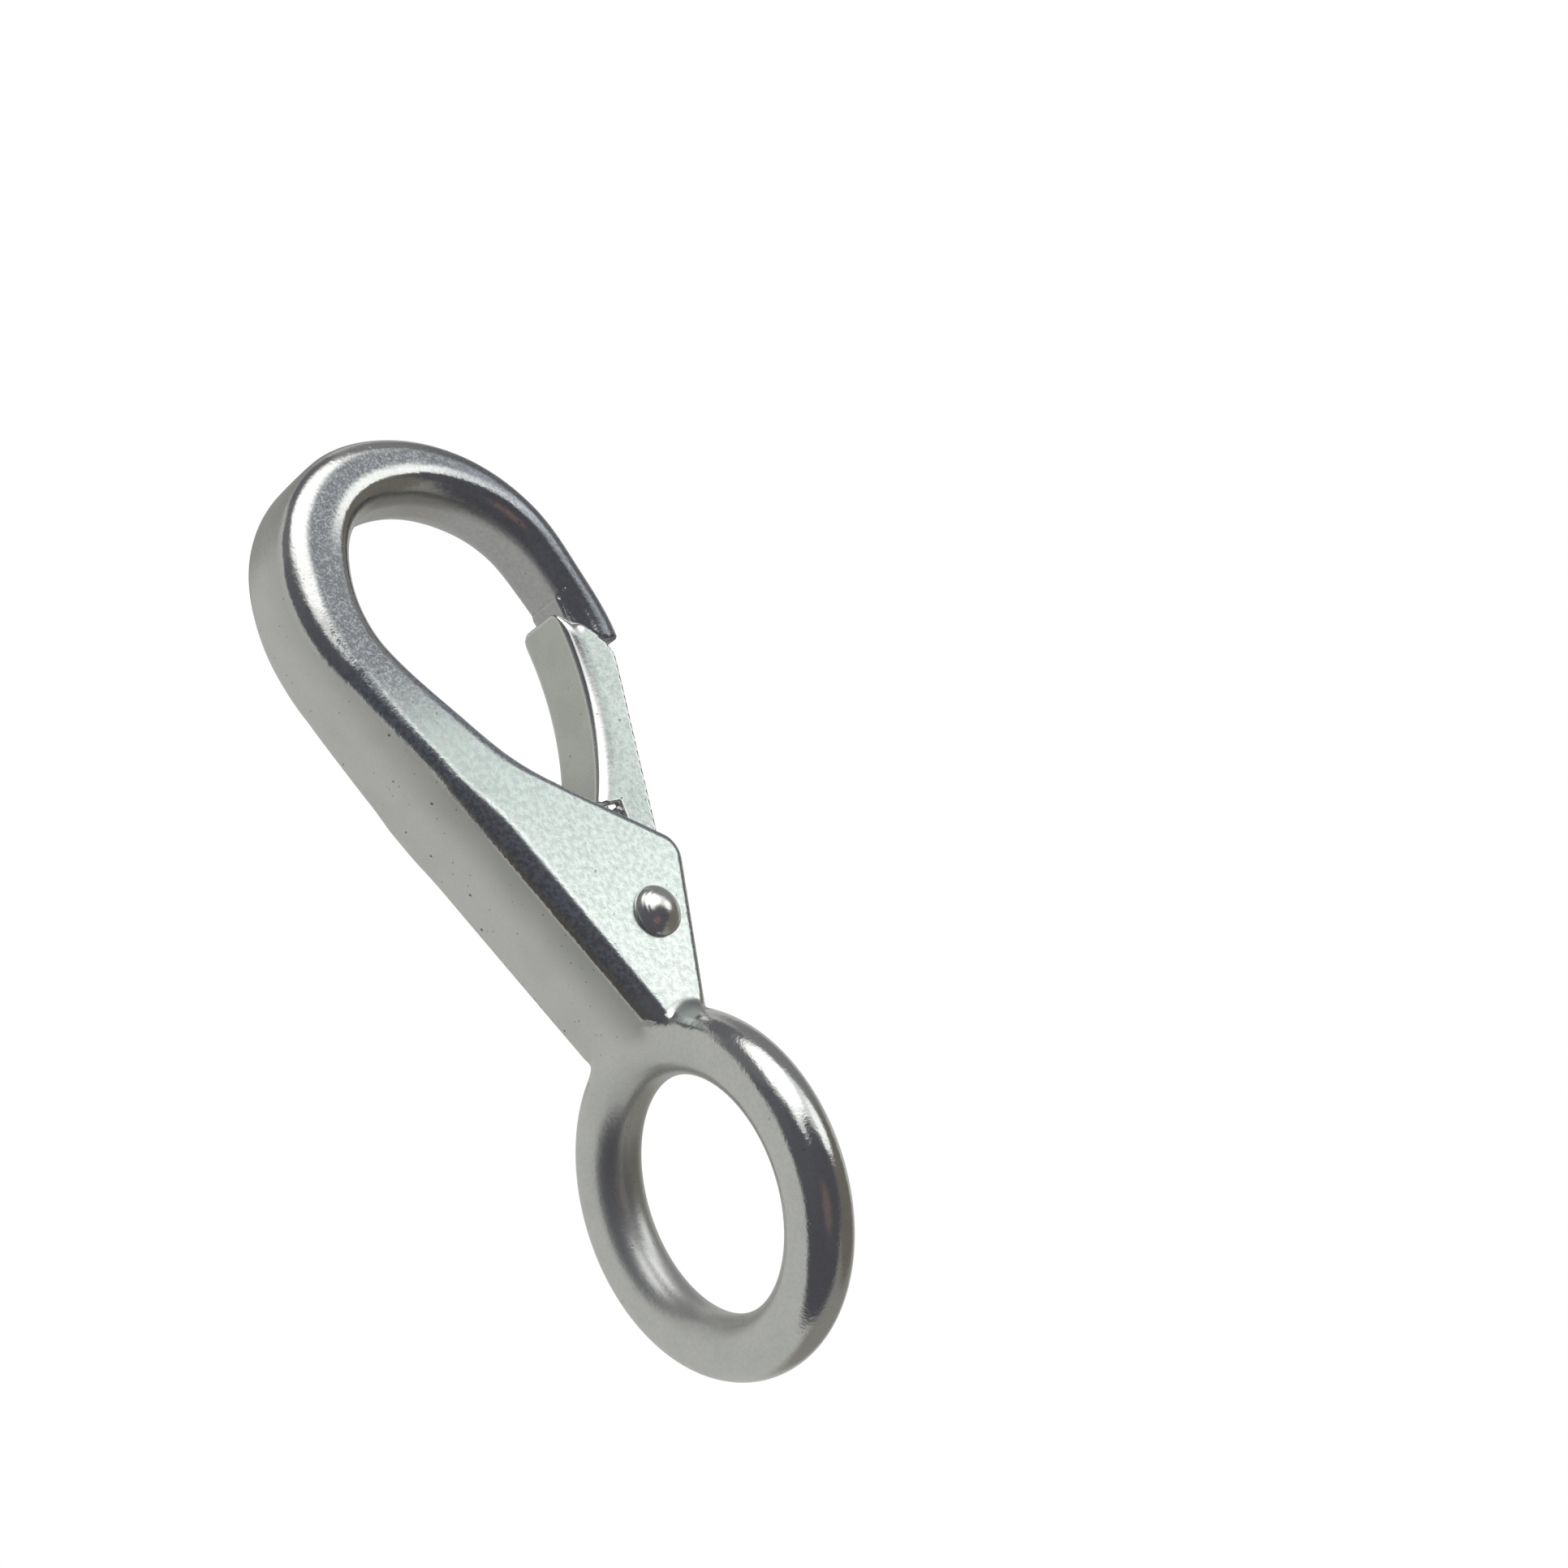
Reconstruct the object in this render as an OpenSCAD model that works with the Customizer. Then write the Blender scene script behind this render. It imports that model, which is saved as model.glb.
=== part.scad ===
// Fixed-eye spring snap hook for boat lines.
//
// One cast body carries the hook, the spine, two cheeks and the eye.  A gate
// folded from sheet metal turns on a rivet between the cheeks, and a torsion
// spring round the rivet holds it shut against the hook's nose.
//
// Frame: origin at the centre of the eye, +Z towards the top of the hook,
// +X through the eye towards the gate side, Y through the thickness.
// Millimetres and degrees throughout.

/* [Eye] */
// Diameter of the hole through the eye
eye_bore_d = 19.05; // [19:0.05:19.2]
// Diameter of the round bar that the eye is made of
eye_bar_d = 5.3; // [5.3:0.1:5.6]
// Radius of the ring that the middle of the bar follows
eye_ring_r = 12.1; // [12.05:0.05:12.15]

/* [Spine and cheeks] */
// Thickness across the two cheeks
body_t = 11; // [10.8:0.1:11.6]
// Lean of the spine away from the eye
spine_lean = 24.7; // [24.5:0.1:24.9]
// Width of the spine below the cheeks' top edge
spine_w = 6.5; // [6:0.1:6.8]
// Radius along the edges of the spine
spine_edge_r = 1.9; // [1.4:0.1:2]
// Radius along the edges of the cheeks
cheek_edge_r = 1; // [0.6:0.1:1.2]
// Radius of the cheeks' upper corner
cheek_corner_r = 2.4; // [2:0.1:2.6]
// Width of the slot between the cheeks
slot_w = 6.8; // [6.7:0.1:7]

/* [Hook] */
// Radius of the outside of the bend
bend_r = 14.1; // [14:0.1:14.2]
// Width of the bar where the bend leaves the spine
bend_w = 5.4; // [5.3:0.1:5.5]
// Thickness of the bar where the bend leaves the spine
bend_t = 8.7; // [8.6:0.1:8.9]
// Width of the bar at the nose
nose_w = 4; // [3.8:0.1:4.2]
// Thickness of the bar at the nose
nose_t = 6; // [5.8:0.1:6.2]
// Thickness of the tongue that the gate closes over
tongue_t = 4; // [3.6:0.1:4.2]

/* [Gate] */
// Width of the gate over both flanges
gate_w = 6.4; // [6.2:0.1:6.6]
// Thickness of the gate's sheet
sheet_t = 1; // [0.9:0.1:1]
// Radius outside the bends between the web and the flanges
fold_r = 1.4; // [1.2:0.1:1.5]
// Radius that the web is bowed to
web_r = 28.1; // [28:0.1:28.2]
// Height of the lower end of the web
web_foot_z = 31.6; // [31.5:0.1:31.7]
// Radius of the gate's round ends at the rivet
ear_r = 3.3; // [3.1:0.1:3.4]

/* [Rivet] */
// Diameter of the rivet's shank
rivet_d = 3; // [2.8:0.1:3]
// Diameter of each rivet head
head_d = 4.2; // [4:0.1:4.4]
// Height of each rivet head
head_h = 1.4; // [1.2:0.1:1.5]

/* [Spring] */
// Diameter of the spring wire
wire_d = 0.6; // [0.5:0.05:0.6]
// Whole turns round the rivet
spring_turns = 4; // [3:1:4]

/* [Hidden] */

// Places in the XZ plane
rivet_at = [0.75, 21.65];
bend_at = [-5.1, 50.7];
web_at = [-23.3, 45.5];

// Cheeks: front edge, top edge and the round corner between them
cheek_foot = [0.7, 13];
cheek_corner = [3.45, 26];
cheek_top = [-4.4, 32.4];
cheek_back = [-10.4, 36.4];
cheek_heel = [-2.4, 14.2];
cheek_end_r = 1.6;

// Slot between the cheeks: its back wall leans with the spine
slot_floor_z = 18.2;
slot_top_z = 38;
slot_back_x = [-3.2, -5.8];

// Gap between the hook's nose and the slanted top of the gate
nose_gap = 0.15;
// Gap between the tongue and the inside of the web
tongue_gap = 0.05;
// Radial gaps round the rivet's shank
body_hole_gap = 0.03;
gate_hole_gap = 0.06;

// Slanted top of the gate, from the web to the front edge
gate_top = [[2, 50.8], [4.6, 49], [6.4, 47.3], [8.2, 45.2], [8.7, 44]];
// Front edge of the gate, down to the ear
gate_front = [[8.2, 41], [7.1, 35.1], [6, 28.9], [4.8, 24.4]];
// Relief notch above the ear, in both flanges
notch_x = [-1, 3.3];
notch_h = 1.4;

flange_depth = 16;
fold_steps = 6;

spring_r = 2;
spring_reach_y = 1.55;
spring_sides = 8;
spring_steps = 18;

corner_steps = 4;
row_steps = 5;
spine_len = 34;
spine_swell = 11;
spine_rings = 12;
side_gap = 0.05;
big = 40;
$fn = 96;

// Rows along the bend: angle about its centre, growth of the outer radius,
// width in the plane of the hook, thickness
bend_rows = [
    [180 + spine_lean, 0,    bend_w,       bend_t],
    [180,              0.1,  bend_w + 0.4, bend_t - 0.6],
    [150,              0.4,  bend_w + 0.5, bend_t - 1],
    [120,              1,    bend_w + 0.2, bend_t - 1.3],
    [90,               0.1,  bend_w - 0.5, nose_t + 1.1],
    [60,              -0.1,  nose_w + 0.6, nose_t + 0.9],
    [30,               0,    nose_w + 0.1, nose_t + 0.6],
    [5,                0.4,  nose_w,       nose_t + 0.3],
    [-18,              2.4,  nose_w,       nose_t]
];

// Smooth curve through four neighbouring values, t from 0 to 1 between b and c
function glide(a, b, c, d, t) =
    b + 0.5 * t * (c - a + t * (2 * a - 5 * b + 4 * c - d + t * (3 * (b - c) + d - a)));

// Row u of a table, where u counts rows and may be a fraction
function row_at(rows, u) =
    let(
        last = len(rows) - 1,
        i = max(0, min(floor(u), last - 1)),
        a = rows[max(i - 1, 0)],
        d = rows[min(i + 2, last)]
    )
    glide(a, rows[i], rows[i + 1], d, u - i);

// Outline of the bar: a rectangle w by t with corners of radius r
function bar_outline(w, t, r) = [
    for (q = [[1, 1, 0], [-1, 1, 90], [-1, -1, 180], [1, -1, 270]])
        for (i = [0:corner_steps])
            let(a = q[2] + 90 * i / corner_steps)
            [q[0] * (w / 2 - r) + r * cos(a), q[1] * (t / 2 - r) + r * sin(a)]
];

// Ring of the bar hung inside an outer edge point p, where n points outwards
function bar_ring(p, n, w, t, r) = [
    for (q = bar_outline(w, t, r))
        [p[0] + n[0] * (q[0] - w / 2), -q[1], p[1] + n[1] * (q[0] - w / 2)]
];

// Unit vector square to the step from a to b, on its left
function left_of(a, b) =
    let(s = (b - a) / norm(b - a)) [-s[1], s[0]];

function bend_edge(u) =
    let(q = row_at(bend_rows, u))
    bend_at + (bend_r + q[1]) * [cos(q[0]), sin(q[0])];

function bend_ring(u) =
    let(q = row_at(bend_rows, u), n = left_of(bend_edge(u - 0.01), bend_edge(u + 0.01)))
    bar_ring(bend_edge(u), n, q[2], q[3], min(spine_edge_r, 0.45 * q[2]));

// The spine runs straight down from the bend, growing wider and thicker towards the cheeks
spine_out = [cos(180 + spine_lean), sin(180 + spine_lean)];
spine_down = [spine_out[1] * -1, spine_out[0]];

function spine_ring(s) =
    let(f = min(s / spine_swell, 1), g = f * f * (3 - 2 * f), full_t = body_t - 2 * side_gap)
    bar_ring(bend_at + bend_r * spine_out + s * spine_down, spine_out,
        bend_w + (spine_w - bend_w) * g, bend_t + (full_t - bend_t) * g, spine_edge_r);

// Solid through a list of rings that all have the same number of points
module skin(rings) {
    n = len(rings[0]);
    last = len(rings) - 1;
    polyhedron(
        points = [for (ring = rings) for (p = ring) p],
        faces = concat(
            [[for (i = [0:n - 1]) i]],
            [for (k = [0:last - 1]) for (i = [0:n - 1])
                let(j = (i + 1) % n) [k * n + i, (k + 1) * n + i, (k + 1) * n + j, k * n + j]],
            [[for (i = [n - 1:-1:0]) last * n + i]]
        )
    );
}

// Extrudes a shape drawn in the XZ plane to a thickness t, centred on Y
module slab(t) {
    rotate([90, 0, 0])
        linear_extrude(t, center = true)
            children();
}

// Places a child, made round the Z axis, with its axis along Y at [x, z]
module across(at) {
    translate([at[0], 0, at[1]])
        rotate([90, 0, 0])
            children();
}

module hook_bar() {
    skin(concat(
        [for (i = [spine_rings:-1:1]) spine_ring(spine_len * i / spine_rings)],
        [for (i = [0:row_steps * (len(bend_rows) - 1)]) bend_ring(i / row_steps)]
    ));
}

module cheek_disc(at, r) {
    e = cheek_edge_r;
    across(at)
        for (s = [0, 1])
            mirror([0, 0, s])
                rotate_extrude($fn = 32)
                    polygon(concat([[0, 0], [r, 0]],
                        [for (i = [0:3]) let(a = 30 * i)
                            [r - e + e * cos(a), body_t / 2 - e + e * sin(a)]],
                        [[0, body_t / 2]]));
}

module cheeks() {
    hull() {
        cheek_disc(cheek_foot, cheek_end_r);
        cheek_disc(cheek_heel, cheek_end_r);
        cheek_disc(cheek_corner, cheek_corner_r);
        cheek_disc(cheek_top, cheek_end_r);
    }
    hull() {
        cheek_disc(cheek_top, cheek_end_r);
        cheek_disc(cheek_back, cheek_end_r);
        cheek_disc(cheek_heel, cheek_end_r);
    }
}

module eye_ring() {
    rotate([0, 90, 0])
        rotate_extrude()
            translate([eye_ring_r, 0])
                circle(d = eye_bar_d, $fn = 48);
}

module slot() {
    slab(slot_w)
        polygon([
            [slot_back_x[0], slot_floor_z],
            [slot_back_x[1], slot_top_z],
            [big / 2, slot_top_z],
            [big / 2, slot_floor_z]
        ]);
}

// Region on the gate's side of its slanted top, moved up by a gap
module under_gate_top(gap) {
    slab(big)
        translate([0, gap])
            polygon(concat(gate_top, [[big / 2, 44], [big / 2, 40], [2, 40]]));
}

module tongue() {
    difference() {
        slab(tongue_t)
            polygon([[4, 50], [4, 45.6], [7, 45.6], [8, 46.6], [8, 50]]);
        across(web_at)
            cylinder(r = web_r + sheet_t + tongue_gap, h = big, center = true, $fn = 180);
    }
}

module body() {
    color("lightgray")
        difference() {
            union() {
                difference() {
                    hook_bar();
                    under_gate_top(nose_gap);
                }
                tongue();
                cheeks();
                eye_ring();
            }
            slot();
            across(rivet_at)
                cylinder(d = rivet_d + 2 * body_hole_gap, h = big, center = true);
            rotate([0, 90, 0])
                cylinder(d = eye_bore_d, h = big, center = true);
        }
}

// Side view of the gate: web and flanges above, round ears at the rivet
module gate_side() {
    polygon(concat(
        gate_top,
        gate_front,
        [for (a = [0:-15:-200]) rivet_at + ear_r * [cos(a), sin(a)]],
        [
            [0.4, web_foot_z - notch_h],
            [notch_x[1], web_foot_z - notch_h],
            [notch_x[1], web_foot_z],
            [notch_x[0], web_foot_z]
        ]
    ));
}

// Points of a fold's quarter turn about [x, y], from its flange to its web
function fold_arc(x, y, r) = [
    for (i = [0:fold_steps])
        let(a = 90 + 90 * i / fold_steps)
        [x + r * cos(a), y + r * sin(a)]
];

function mirrored(line) = [for (p = line) [p[0], -p[1]]];
function backwards(line) = [for (i = [len(line) - 1:-1:0]) line[i]];

// Section of the channel, from the centre of the web's bow outwards
module channel_section() {
    x = web_r + fold_r;
    y = gate_w / 2 - fold_r;
    outside = concat([[x + flange_depth, gate_w / 2]], fold_arc(x, y, fold_r));
    inside = concat([[x + flange_depth, gate_w / 2 - sheet_t]], fold_arc(x, y, fold_r - sheet_t));
    polygon(concat(outside, backwards(mirrored(outside)), mirrored(inside), backwards(inside)));
}

module gate() {
    color("silver")
        difference() {
            intersection() {
                slab(gate_w + 1)
                    gate_side();
                across(web_at)
                    rotate([0, 0, -70])
                        rotate_extrude(angle = 85, $fn = 180)
                            channel_section();
            }
            translate([-big / 2, -(gate_w / 2 - sheet_t), 0])
                cube([big, gate_w - 2 * sheet_t, web_foot_z]);
            across(rivet_at)
                cylinder(d = rivet_d + 2 * gate_hole_gap, h = big, center = true);
        }
}

// Domed head standing on a short rim, along +Z
module rivet_head() {
    rim_h = 0.3;
    dome_h = head_h - rim_h;
    dome_r = (head_d * head_d / 4 + dome_h * dome_h) / (2 * dome_h);
    cylinder(d = head_d, h = rim_h);
    intersection() {
        translate([0, 0, rim_h + dome_h - dome_r])
            sphere(r = dome_r);
        translate([0, 0, rim_h - 0.05])
            cylinder(d = head_d, h = head_h);
    }
}

module rivet() {
    color("gainsboro")
        across(rivet_at) {
            cylinder(d = rivet_d, h = body_t + 0.2, center = true);
            for (s = [0, 1])
                mirror([0, 0, s])
                    translate([0, 0, body_t / 2])
                        rivet_head();
        }
}

// Centre line of the spring: a leg in the flange's notch, the coil, a leg
// against the slot's back wall
coil_from = -2;
coil_to = -158 - 360 * spring_turns;

function coil_point(t) =
    let(a = coil_from + (coil_to - coil_from) * t)
    [rivet_at[0] + spring_r * cos(a), spring_reach_y * (2 * t - 1), rivet_at[1] + spring_r * sin(a)];

module spring() {
    steps = spring_steps * (spring_turns + 0.5);
    line = concat(
        [[2.9, -3.3, 30.95], [2.9, -2.3, 30.95], [2.88, -1.75, 30.7]],
        [for (z = [29, 26.5, 24]) [2.62 + (z - 22) * 0.035, -spring_reach_y, z]],
        [for (i = [0:steps]) coil_point(i / steps)],
        [for (s = [3, 6, 8.3]) coil_point(1) + s * [-0.375, 0, 0.927]]
    );
    color("darkgray")
        skin([for (i = [0:len(line) - 1])
            wire_ring(line[i], line[min(i + 1, len(line) - 1)] - line[max(i - 1, 0)])]);
}

// Ring of the wire round a point p, square to the direction d
function wire_ring(p, d) =
    let(
        n = d / norm(d),
        side = cross(n, [0.3, 0.1, 0.95]),
        a = side / norm(side),
        b = cross(n, a)
    )
    [for (i = [0:spring_sides - 1])
        let(q = 360 * i / spring_sides)
        p + wire_d / 2 * (a * cos(q) + b * sin(q))];

body();
gate();
rivet();
spring();
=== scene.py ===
import math

import bpy
import numpy as np
from mathutils import Euler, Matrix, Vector


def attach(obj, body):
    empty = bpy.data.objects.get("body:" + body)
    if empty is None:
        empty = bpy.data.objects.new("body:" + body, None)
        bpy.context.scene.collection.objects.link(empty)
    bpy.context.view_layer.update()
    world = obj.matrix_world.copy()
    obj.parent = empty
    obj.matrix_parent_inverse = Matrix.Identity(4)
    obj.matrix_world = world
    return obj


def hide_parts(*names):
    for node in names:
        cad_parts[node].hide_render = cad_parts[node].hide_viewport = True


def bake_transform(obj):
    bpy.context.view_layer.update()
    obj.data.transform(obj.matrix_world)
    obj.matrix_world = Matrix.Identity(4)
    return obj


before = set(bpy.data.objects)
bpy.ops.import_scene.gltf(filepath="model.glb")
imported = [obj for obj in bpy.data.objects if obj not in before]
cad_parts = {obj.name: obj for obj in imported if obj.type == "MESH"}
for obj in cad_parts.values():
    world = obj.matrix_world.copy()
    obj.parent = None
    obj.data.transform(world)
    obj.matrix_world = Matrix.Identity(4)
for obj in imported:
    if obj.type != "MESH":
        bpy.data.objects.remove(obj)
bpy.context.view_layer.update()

MM = 0.001

# ---------------------------------------------------------------- dimensions
# Millimetres, in the frame of the CAD model.

PIN_X, PIN_Z = 0.75, 21.65
EYE_BAR_R = 2.65
EYE_RING_R = 12.2
HALF_T = 5.5
SLOT_HALF = 3.4
BEND_AT = np.array([-5.1, 50.7])
BEND_R = 14.1
BEND_W = 5.5
SPINE_W = 6.5
SPINE_THINNING = 1.2
SPINE_LEAN = 24.7
SPINE_LEN = 37.5
ROOT_NARROWING = 2.5
CHEEK_EDGE_R = 0.95
# The rim falls back by RIM_CROWN y^2 off the mid-plane, and no more past RIM_CROWN_Y2
RIM_CROWN, RIM_CROWN_Y2 = 0.008, 16.0
# Degrees from the start of the bend to the end of the bar
BAR_END = 223.0
# The spine's root: half thickness, depth and width of its edge, top, and how far it
# reaches inside the ring's centre line
ROOT_HALF, ROOT_DEEP, ROOT_WIDE, ROOT_TOP, ROOT_IN = 4.9, 2.4, 1.6, 17.0, 0.6
# The cheeks end this far from the middle of the eye
CHEEKS_FROM = 14.2
RIVET_BORE_R = 1.53
TONGUE_HALF, TONGUE_SINK = 2.0, 0.35
LIP_DEG = 30.0

# Rows along the bend: angle, growth of the outer radius, width, thickness
BEND_ROWS = np.array([
    [204.7, 0.0, 5.5, 8.74],
    [180.0, 0.55, 6.1, 8.1],
    [150.0, 1.0, 6.25, 7.7],
    [120.0, 1.05, 5.8, 7.4],
    [90.0, 0.4, 5.3, 7.1],
    [60.0, 0.1, 4.8, 6.9],
    [30.0, 0.1, 4.1, 6.6],
    [5.0, 0.4, 3.7, 6.3],
    [-18.0, 2.4, 3.7, 6.0],
])

# Outer edge along the bar: millimetres before the bend (negative) or degrees into it,
# depth of the rounding across the rim, width of it across the face
EDGE_ROWS = np.array([
    [-38.0, 1.8, 1.7],
    [-24.0, 1.8, 1.7],
    [-15.0, 1.8, 1.8],
    [-11.0, 1.8, 1.2],
    [-7.7, 1.45, 1.15],
    [-5.5, 1.4, 1.1],
    [-2.3, 1.25, 1.3],
    [0.0, 1.5, 1.6],
    [15.7, 1.95, 2.3],
    [38.0, 1.95, 2.7],
    [58.0, 1.5, 2.0],
    [107.0, 1.5, 1.7],
    [131.0, 1.7, 1.8],
    [175.0, 1.8, 1.8],
    [223.0, 1.8, 1.8],
])

# Inner edge, in the same way
INNER_ROWS = np.array([
    [-30.0, 0.95, 1.0],
    [-9.0, 1.05, 1.6],
    [0.0, 1.6, 1.7],
    [35.0, 1.7, 1.6],
    [60.0, 2.0, 1.7],
    [130.0, 2.1, 1.7],
    [175.0, 1.9, 1.8],
    [223.0, 1.7, 1.8],
])
# The bend's faces fall away towards the opening: how far from the inner side, how strongly
CROWN_AT, CROWN = 2.6, 0.085

# Cheeks in the XZ plane: centre and radius of each rounded corner
CHEEK_LOW = [(0.7, 13.0, 1.6), (-1.2, 14.6, 1.6), (3.45, 26.0, 2.4), (-4.4, 32.4, 1.6)]
CHEEK_HIGH = [(-4.4, 32.4, 1.6), (-10.4, 35.8, 1.6), (-1.2, 14.6, 1.6)]

# Small dent in the near face of the nose
DIMPLE = (6.5, -2.6, 50.3)

GATE_TOP = [(2.0, 50.8), (4.6, 49.0), (6.4, 47.3), (8.2, 45.2), (8.7, 44.0)]
GATE_FRONT = [(8.2, 41.0), (7.1, 35.1), (6.0, 28.9), (4.8, 24.4)]
WEB_X, WEB_Z, WEB_R = -23.3, 45.5, 28.1
WEB_FOOT_Z = 31.6
GATE_HALF = 3.2
SHEET_T = 1.0
# The fold: inner radius plus the sheet's thickness; outer ellipse, FOLD_DEEP across the
# gate and FOLD_WIDE along the flange
FOLD_R = 1.4
FOLD_DEEP, FOLD_WIDE = 0.8, 1.8
EAR_R = 3.3
EAR_BORE_R = 1.56

FLOOR_Z, FLOOR_R = -250.0, 1300.0

# ------------------------------------------------------------- distance tools


def soft_min(a, b, k):
    h = np.maximum(k - np.abs(a - b), 0.0) / k
    return np.minimum(a, b) - h * h * k * 0.25


def soft_max(a, b, k):
    return -soft_min(-a, -b, k)


def ramp(x, low, high):
    """0 below low, 1 above high, smooth between."""
    t = np.clip((x - low) / (high - low), 0.0, 1.0)
    return t * t * (3.0 - 2.0 * t)


def rounded_slab(flat, y, half, r):
    """Distance to a flat shape given its planar distance, half thickness and edge radius."""
    a, b = flat + r, np.abs(y) - half + r
    return np.minimum(np.maximum(a, b), 0.0) + np.hypot(np.maximum(a, 0.0), np.maximum(b, 0.0)) - r


def edged_slab(flat, y, half, deep, wide, lip):
    """As rounded_slab, with an elliptical edge, deep across the rim and wide across the face.

    The edge starts with a flat facet, turned by the angle lip from the rim.
    """
    flat = flat + RIM_CROWN * np.minimum(y * y, RIM_CROWN_Y2)
    a, b = flat / wide + 1.0, (np.abs(y) - half) / deep + 1.0
    small = np.minimum(deep, wide)
    arc = (np.hypot(np.maximum(a, 0.0), np.maximum(b, 0.0)) - 1.0) * small
    arc = np.where((a <= 0) & (b <= 0), np.maximum(a, b) * small - small, arc)
    facet = soft_max(a - 1.0, a * np.cos(lip) + b * np.sin(lip) - 1.0, 0.03) * small
    return np.where((b > 0) & (a > 0) & (b < a * np.tan(lip)), facet, arc)


def polygon_distance(x, z, corners):
    """Signed distance to a closed polygon, negative inside."""
    best = np.full(x.shape, 1e9)
    sign = np.ones(x.shape)
    count = len(corners)
    for i in range(count):
        ax, az = corners[i]
        bx, bz = corners[i - 1]
        ex, ez = bx - ax, bz - az
        wx, wz = x - ax, z - az
        t = np.clip((wx * ex + wz * ez) / (ex * ex + ez * ez), 0.0, 1.0)
        best = np.minimum(best, (wx - ex * t) ** 2 + (wz - ez * t) ** 2)
        above, under = z >= az, z < bz
        left = ex * wz > ez * wx
        flip = (above & under & left) | (~above & ~under & ~left)
        sign = np.where(flip, -sign, sign)
    return sign * np.sqrt(best)


def hull_of_discs(discs, steps=14):
    """Corners of the convex outline round some discs."""
    points = []
    for cx, cz, r in discs:
        for i in range(steps * 4):
            a = 2.0 * math.pi * i / (steps * 4)
            points.append((cx + r * math.cos(a), cz + r * math.sin(a)))
    points = sorted(set(points))

    def half(seq):
        out = []
        for p in seq:
            while len(out) > 1:
                (ax, az), (bx, bz) = out[-2], out[-1]
                if (bx - ax) * (p[1] - az) - (bz - az) * (p[0] - ax) > 0:
                    break
                out.pop()
            out.append(p)
        return out[:-1]

    return half(points) + half(points[::-1])


# ------------------------------------------------------------ the hook's bar


def glide(rows, u):
    """Smooth curve through the rows of a table, at fractional row numbers u."""
    last = len(rows) - 1
    i = np.clip(np.floor(u).astype(int), 0, last - 1)
    t = (u - i)[:, None]
    a, b, c, d = rows[np.maximum(i - 1, 0)], rows[i], rows[i + 1], rows[np.minimum(i + 2, last)]
    return b + 0.5 * t * (c - a + t * (2 * a - 5 * b + 4 * c - d + t * (3 * (b - c) + d - a)))


def make_bar():
    """Samples along the bar: middle, outward normal, width, half thickness, edges, crown."""
    lean = math.radians(180.0 + SPINE_LEAN)
    out = np.array([math.cos(lean), math.sin(lean)])
    down = np.array([-out[1], out[0]])
    s = np.arange(SPINE_LEN, 0.0, -0.15)
    w_spine = BEND_W + (SPINE_W - BEND_W) * ramp(s, 0.0, 13.0)
    w_spine -= ROOT_NARROWING * ramp(s, 28.0, SPINE_LEN)
    edge_spine = BEND_AT + BEND_R * out + s[:, None] * down

    u = np.linspace(0.0, len(BEND_ROWS) - 1.0, 380)
    rows = glide(BEND_ROWS, u)
    a = np.radians(rows[:, 0])
    edge_bend = BEND_AT + (BEND_R + rows[:, 1])[:, None] * np.stack([np.cos(a), np.sin(a)], 1)

    edge = np.concatenate([edge_spine, edge_bend])
    tangent = np.gradient(edge, axis=0)
    tangent /= np.linalg.norm(tangent, axis=1)[:, None]
    normal = np.stack([-tangent[:, 1], tangent[:, 0]], 1)
    width = np.concatenate([w_spine, rows[:, 2]])
    half_spine = HALF_T - SPINE_THINNING * (1.0 - ramp(s, -3.0, 17.0))
    half = np.concatenate([half_spine, rows[:, 3] / 2])
    middle = edge - normal * width[:, None] / 2
    place = np.concatenate([-s, BAR_END - np.linspace(BAR_END, 0.0, len(rows))])
    kernel = np.hanning(31) / np.hanning(31).sum()
    edges = [np.convolve(np.pad(np.interp(place, rows_of[:, 0], rows_of[:, k]), 15, "edge"), kernel, "valid")
             for rows_of in (EDGE_ROWS, INNER_ROWS) for k in (1, 2)]
    crown = CROWN * ramp(place, 45.0, 75.0) * (1.0 - ramp(place, 150.0, 190.0))
    return dict(mid=middle, nor=normal, w=width, half=half, deep=edges[0], wide=edges[1],
                deep_in=edges[2], wide_in=edges[3], crown=crown)


BAR = make_bar()
BAR_TAN = np.gradient(BAR["mid"], axis=0)
BAR_STEP = np.linalg.norm(BAR_TAN, axis=1)
BAR_TAN = BAR_TAN / BAR_STEP[:, None]
BAR_SQ = (BAR["mid"] ** 2).sum(1)


def on_bar(x, z):
    """Where points lie along the bar: row numbers, signed offset outwards, overshoot past the ends."""
    p = np.stack([x, z], 1)
    near = np.empty(len(p), int)
    for k in range(0, len(p), 20000):
        near[k:k + 20000] = (BAR_SQ - 2.0 * p[k:k + 20000] @ BAR["mid"].T).argmin(1)
    last = len(BAR_SQ) - 1
    ahead = ((p - BAR["mid"][near]) * BAR_TAN[near]).sum(1)
    u = np.clip(near + ahead / BAR_STEP[near], 0.0, last - 1e-6)
    i = u.astype(int)
    f = (u - i)[:, None]

    def at(values):
        if values.ndim == 1:
            return values[i] * (1 - f[:, 0]) + values[i + 1] * f[:, 0]
        return values[i] * (1 - f) + values[i + 1] * f

    offset = ((p - at(BAR["mid"])) * at(BAR["nor"])).sum(1)
    past = np.where(near == 0, -ahead, np.where(near == last, ahead, -1e3))
    keys = ("w", "half", "deep", "wide", "deep_in", "wide_in", "crown")
    return offset, past, [at(BAR[key]) for key in keys]


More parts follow.
